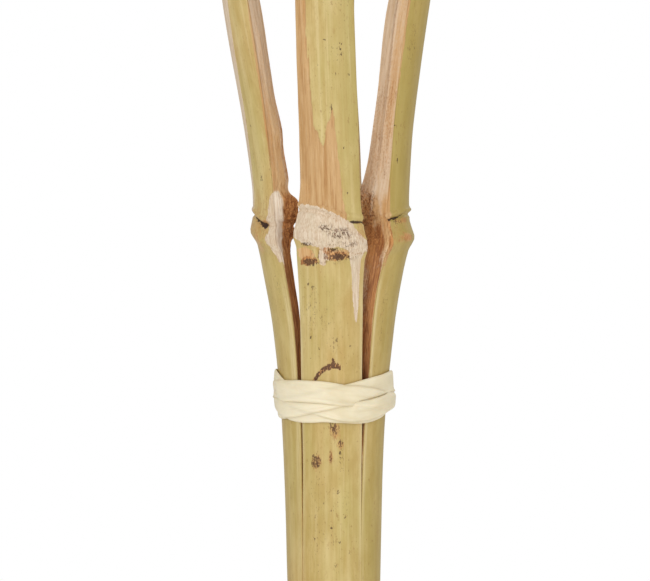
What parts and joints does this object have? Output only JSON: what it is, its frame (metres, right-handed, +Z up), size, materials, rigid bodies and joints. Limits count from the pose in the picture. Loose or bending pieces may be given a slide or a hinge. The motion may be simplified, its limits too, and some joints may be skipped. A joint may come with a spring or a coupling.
{
  "type": "tiki torch",
  "caption": "Bamboo garden torch whose pole is split into spread slats above a rubber band, with a woven basket, a lift-out fuel can, a screw-on wick burner and a snuffer.",
  "frame": {"origin": "on the pole's axis at the tip of its pointed foot", "axes": "+Z up along the pole, -Y towards the front slat, +X towards the right slat"},
  "size_m": [0.1049, 0.105, 1.4952],
  "materials": {
    "bamboo": "waxy rind, satin",
    "split_bamboo": "split face, matte",
    "band_rubber": "cream, satin",
    "tinplate": "tinned, satin",
    "steel": "satin",
    "gasket_rubber": "matte",
    "wick_cotton": "braided"
  },
  "bodies": {
    "torch_pole": {"bamboo_pole": "bamboo", "slat_front": "bamboo", "slat_left": "bamboo", "slat_right": "bamboo", "slat_back": "bamboo", "rubber_band": "band_rubber", "rim_hoop_outer": "split_bamboo", "rim_hoop_inner": "split_bamboo", "rim_brad_front": "steel", "rim_brad_right": "steel", "rim_brad_back": "steel", "rim_brad_left": "steel", "basket_rib_front_right": "split_bamboo", "basket_rib_right_back": "split_bamboo", "basket_rib_back_left": "split_bamboo", "basket_rib_left_front": "split_bamboo", "woven_strip_01": "split_bamboo", "woven_strip_02": "split_bamboo", "woven_strip_03": "split_bamboo", "woven_strip_04": "split_bamboo", "woven_strip_05": "split_bamboo", "woven_strip_06": "split_bamboo", "woven_strip_07": "split_bamboo", "woven_strip_08": "split_bamboo", "woven_strip_09": "split_bamboo", "woven_strip_10": "split_bamboo"},
    "fuel_can": {"fuel_can_body": "tinplate", "fuel_can_top": "tinplate"},
    "gasket": {"cap_gasket": "gasket_rubber"},
    "burner": {"burner_cap": "steel", "wick_tube": "steel", "tube_lock_ring": "steel"},
    "wick": {"wick": "wick_cotton"},
    "snuffer": {"snuffer_cap": "steel", "snuffer_rivet": "steel", "snuffer_knob": "steel"}
  },
  "joints": [
    {"name": "can_lift", "type": "slide", "parent": "torch_pole", "child": "fuel_can", "axis": [0, 0, 1], "range_m": [0, 0.08]},
    {"name": "gasket_rise", "type": "slide", "parent": "fuel_can", "child": "gasket", "axis": [0, 0, 1], "range_m": [0, 0.0106]},
    {"name": "burner_unscrew", "type": "hinge", "parent": "gasket", "child": "burner", "pos_m": [0, 0, 1.4406], "axis": [0, 0, 1], "range_deg": [0, 1260]},
    {"name": "wick_feed", "type": "slide", "parent": "burner", "child": "wick", "axis": [0, 0, 1], "range_m": [-0.006, 0.008]},
    {"name": "snuffer_lift", "type": "slide", "parent": "burner", "child": "snuffer", "axis": [0, 0, 1], "range_m": [0, 0.05]}
  ],
  "couplings": [
    {"joint": "gasket_rise", "follows": "burner_unscrew", "m_per_rad": 0.00047746}
  ]
}
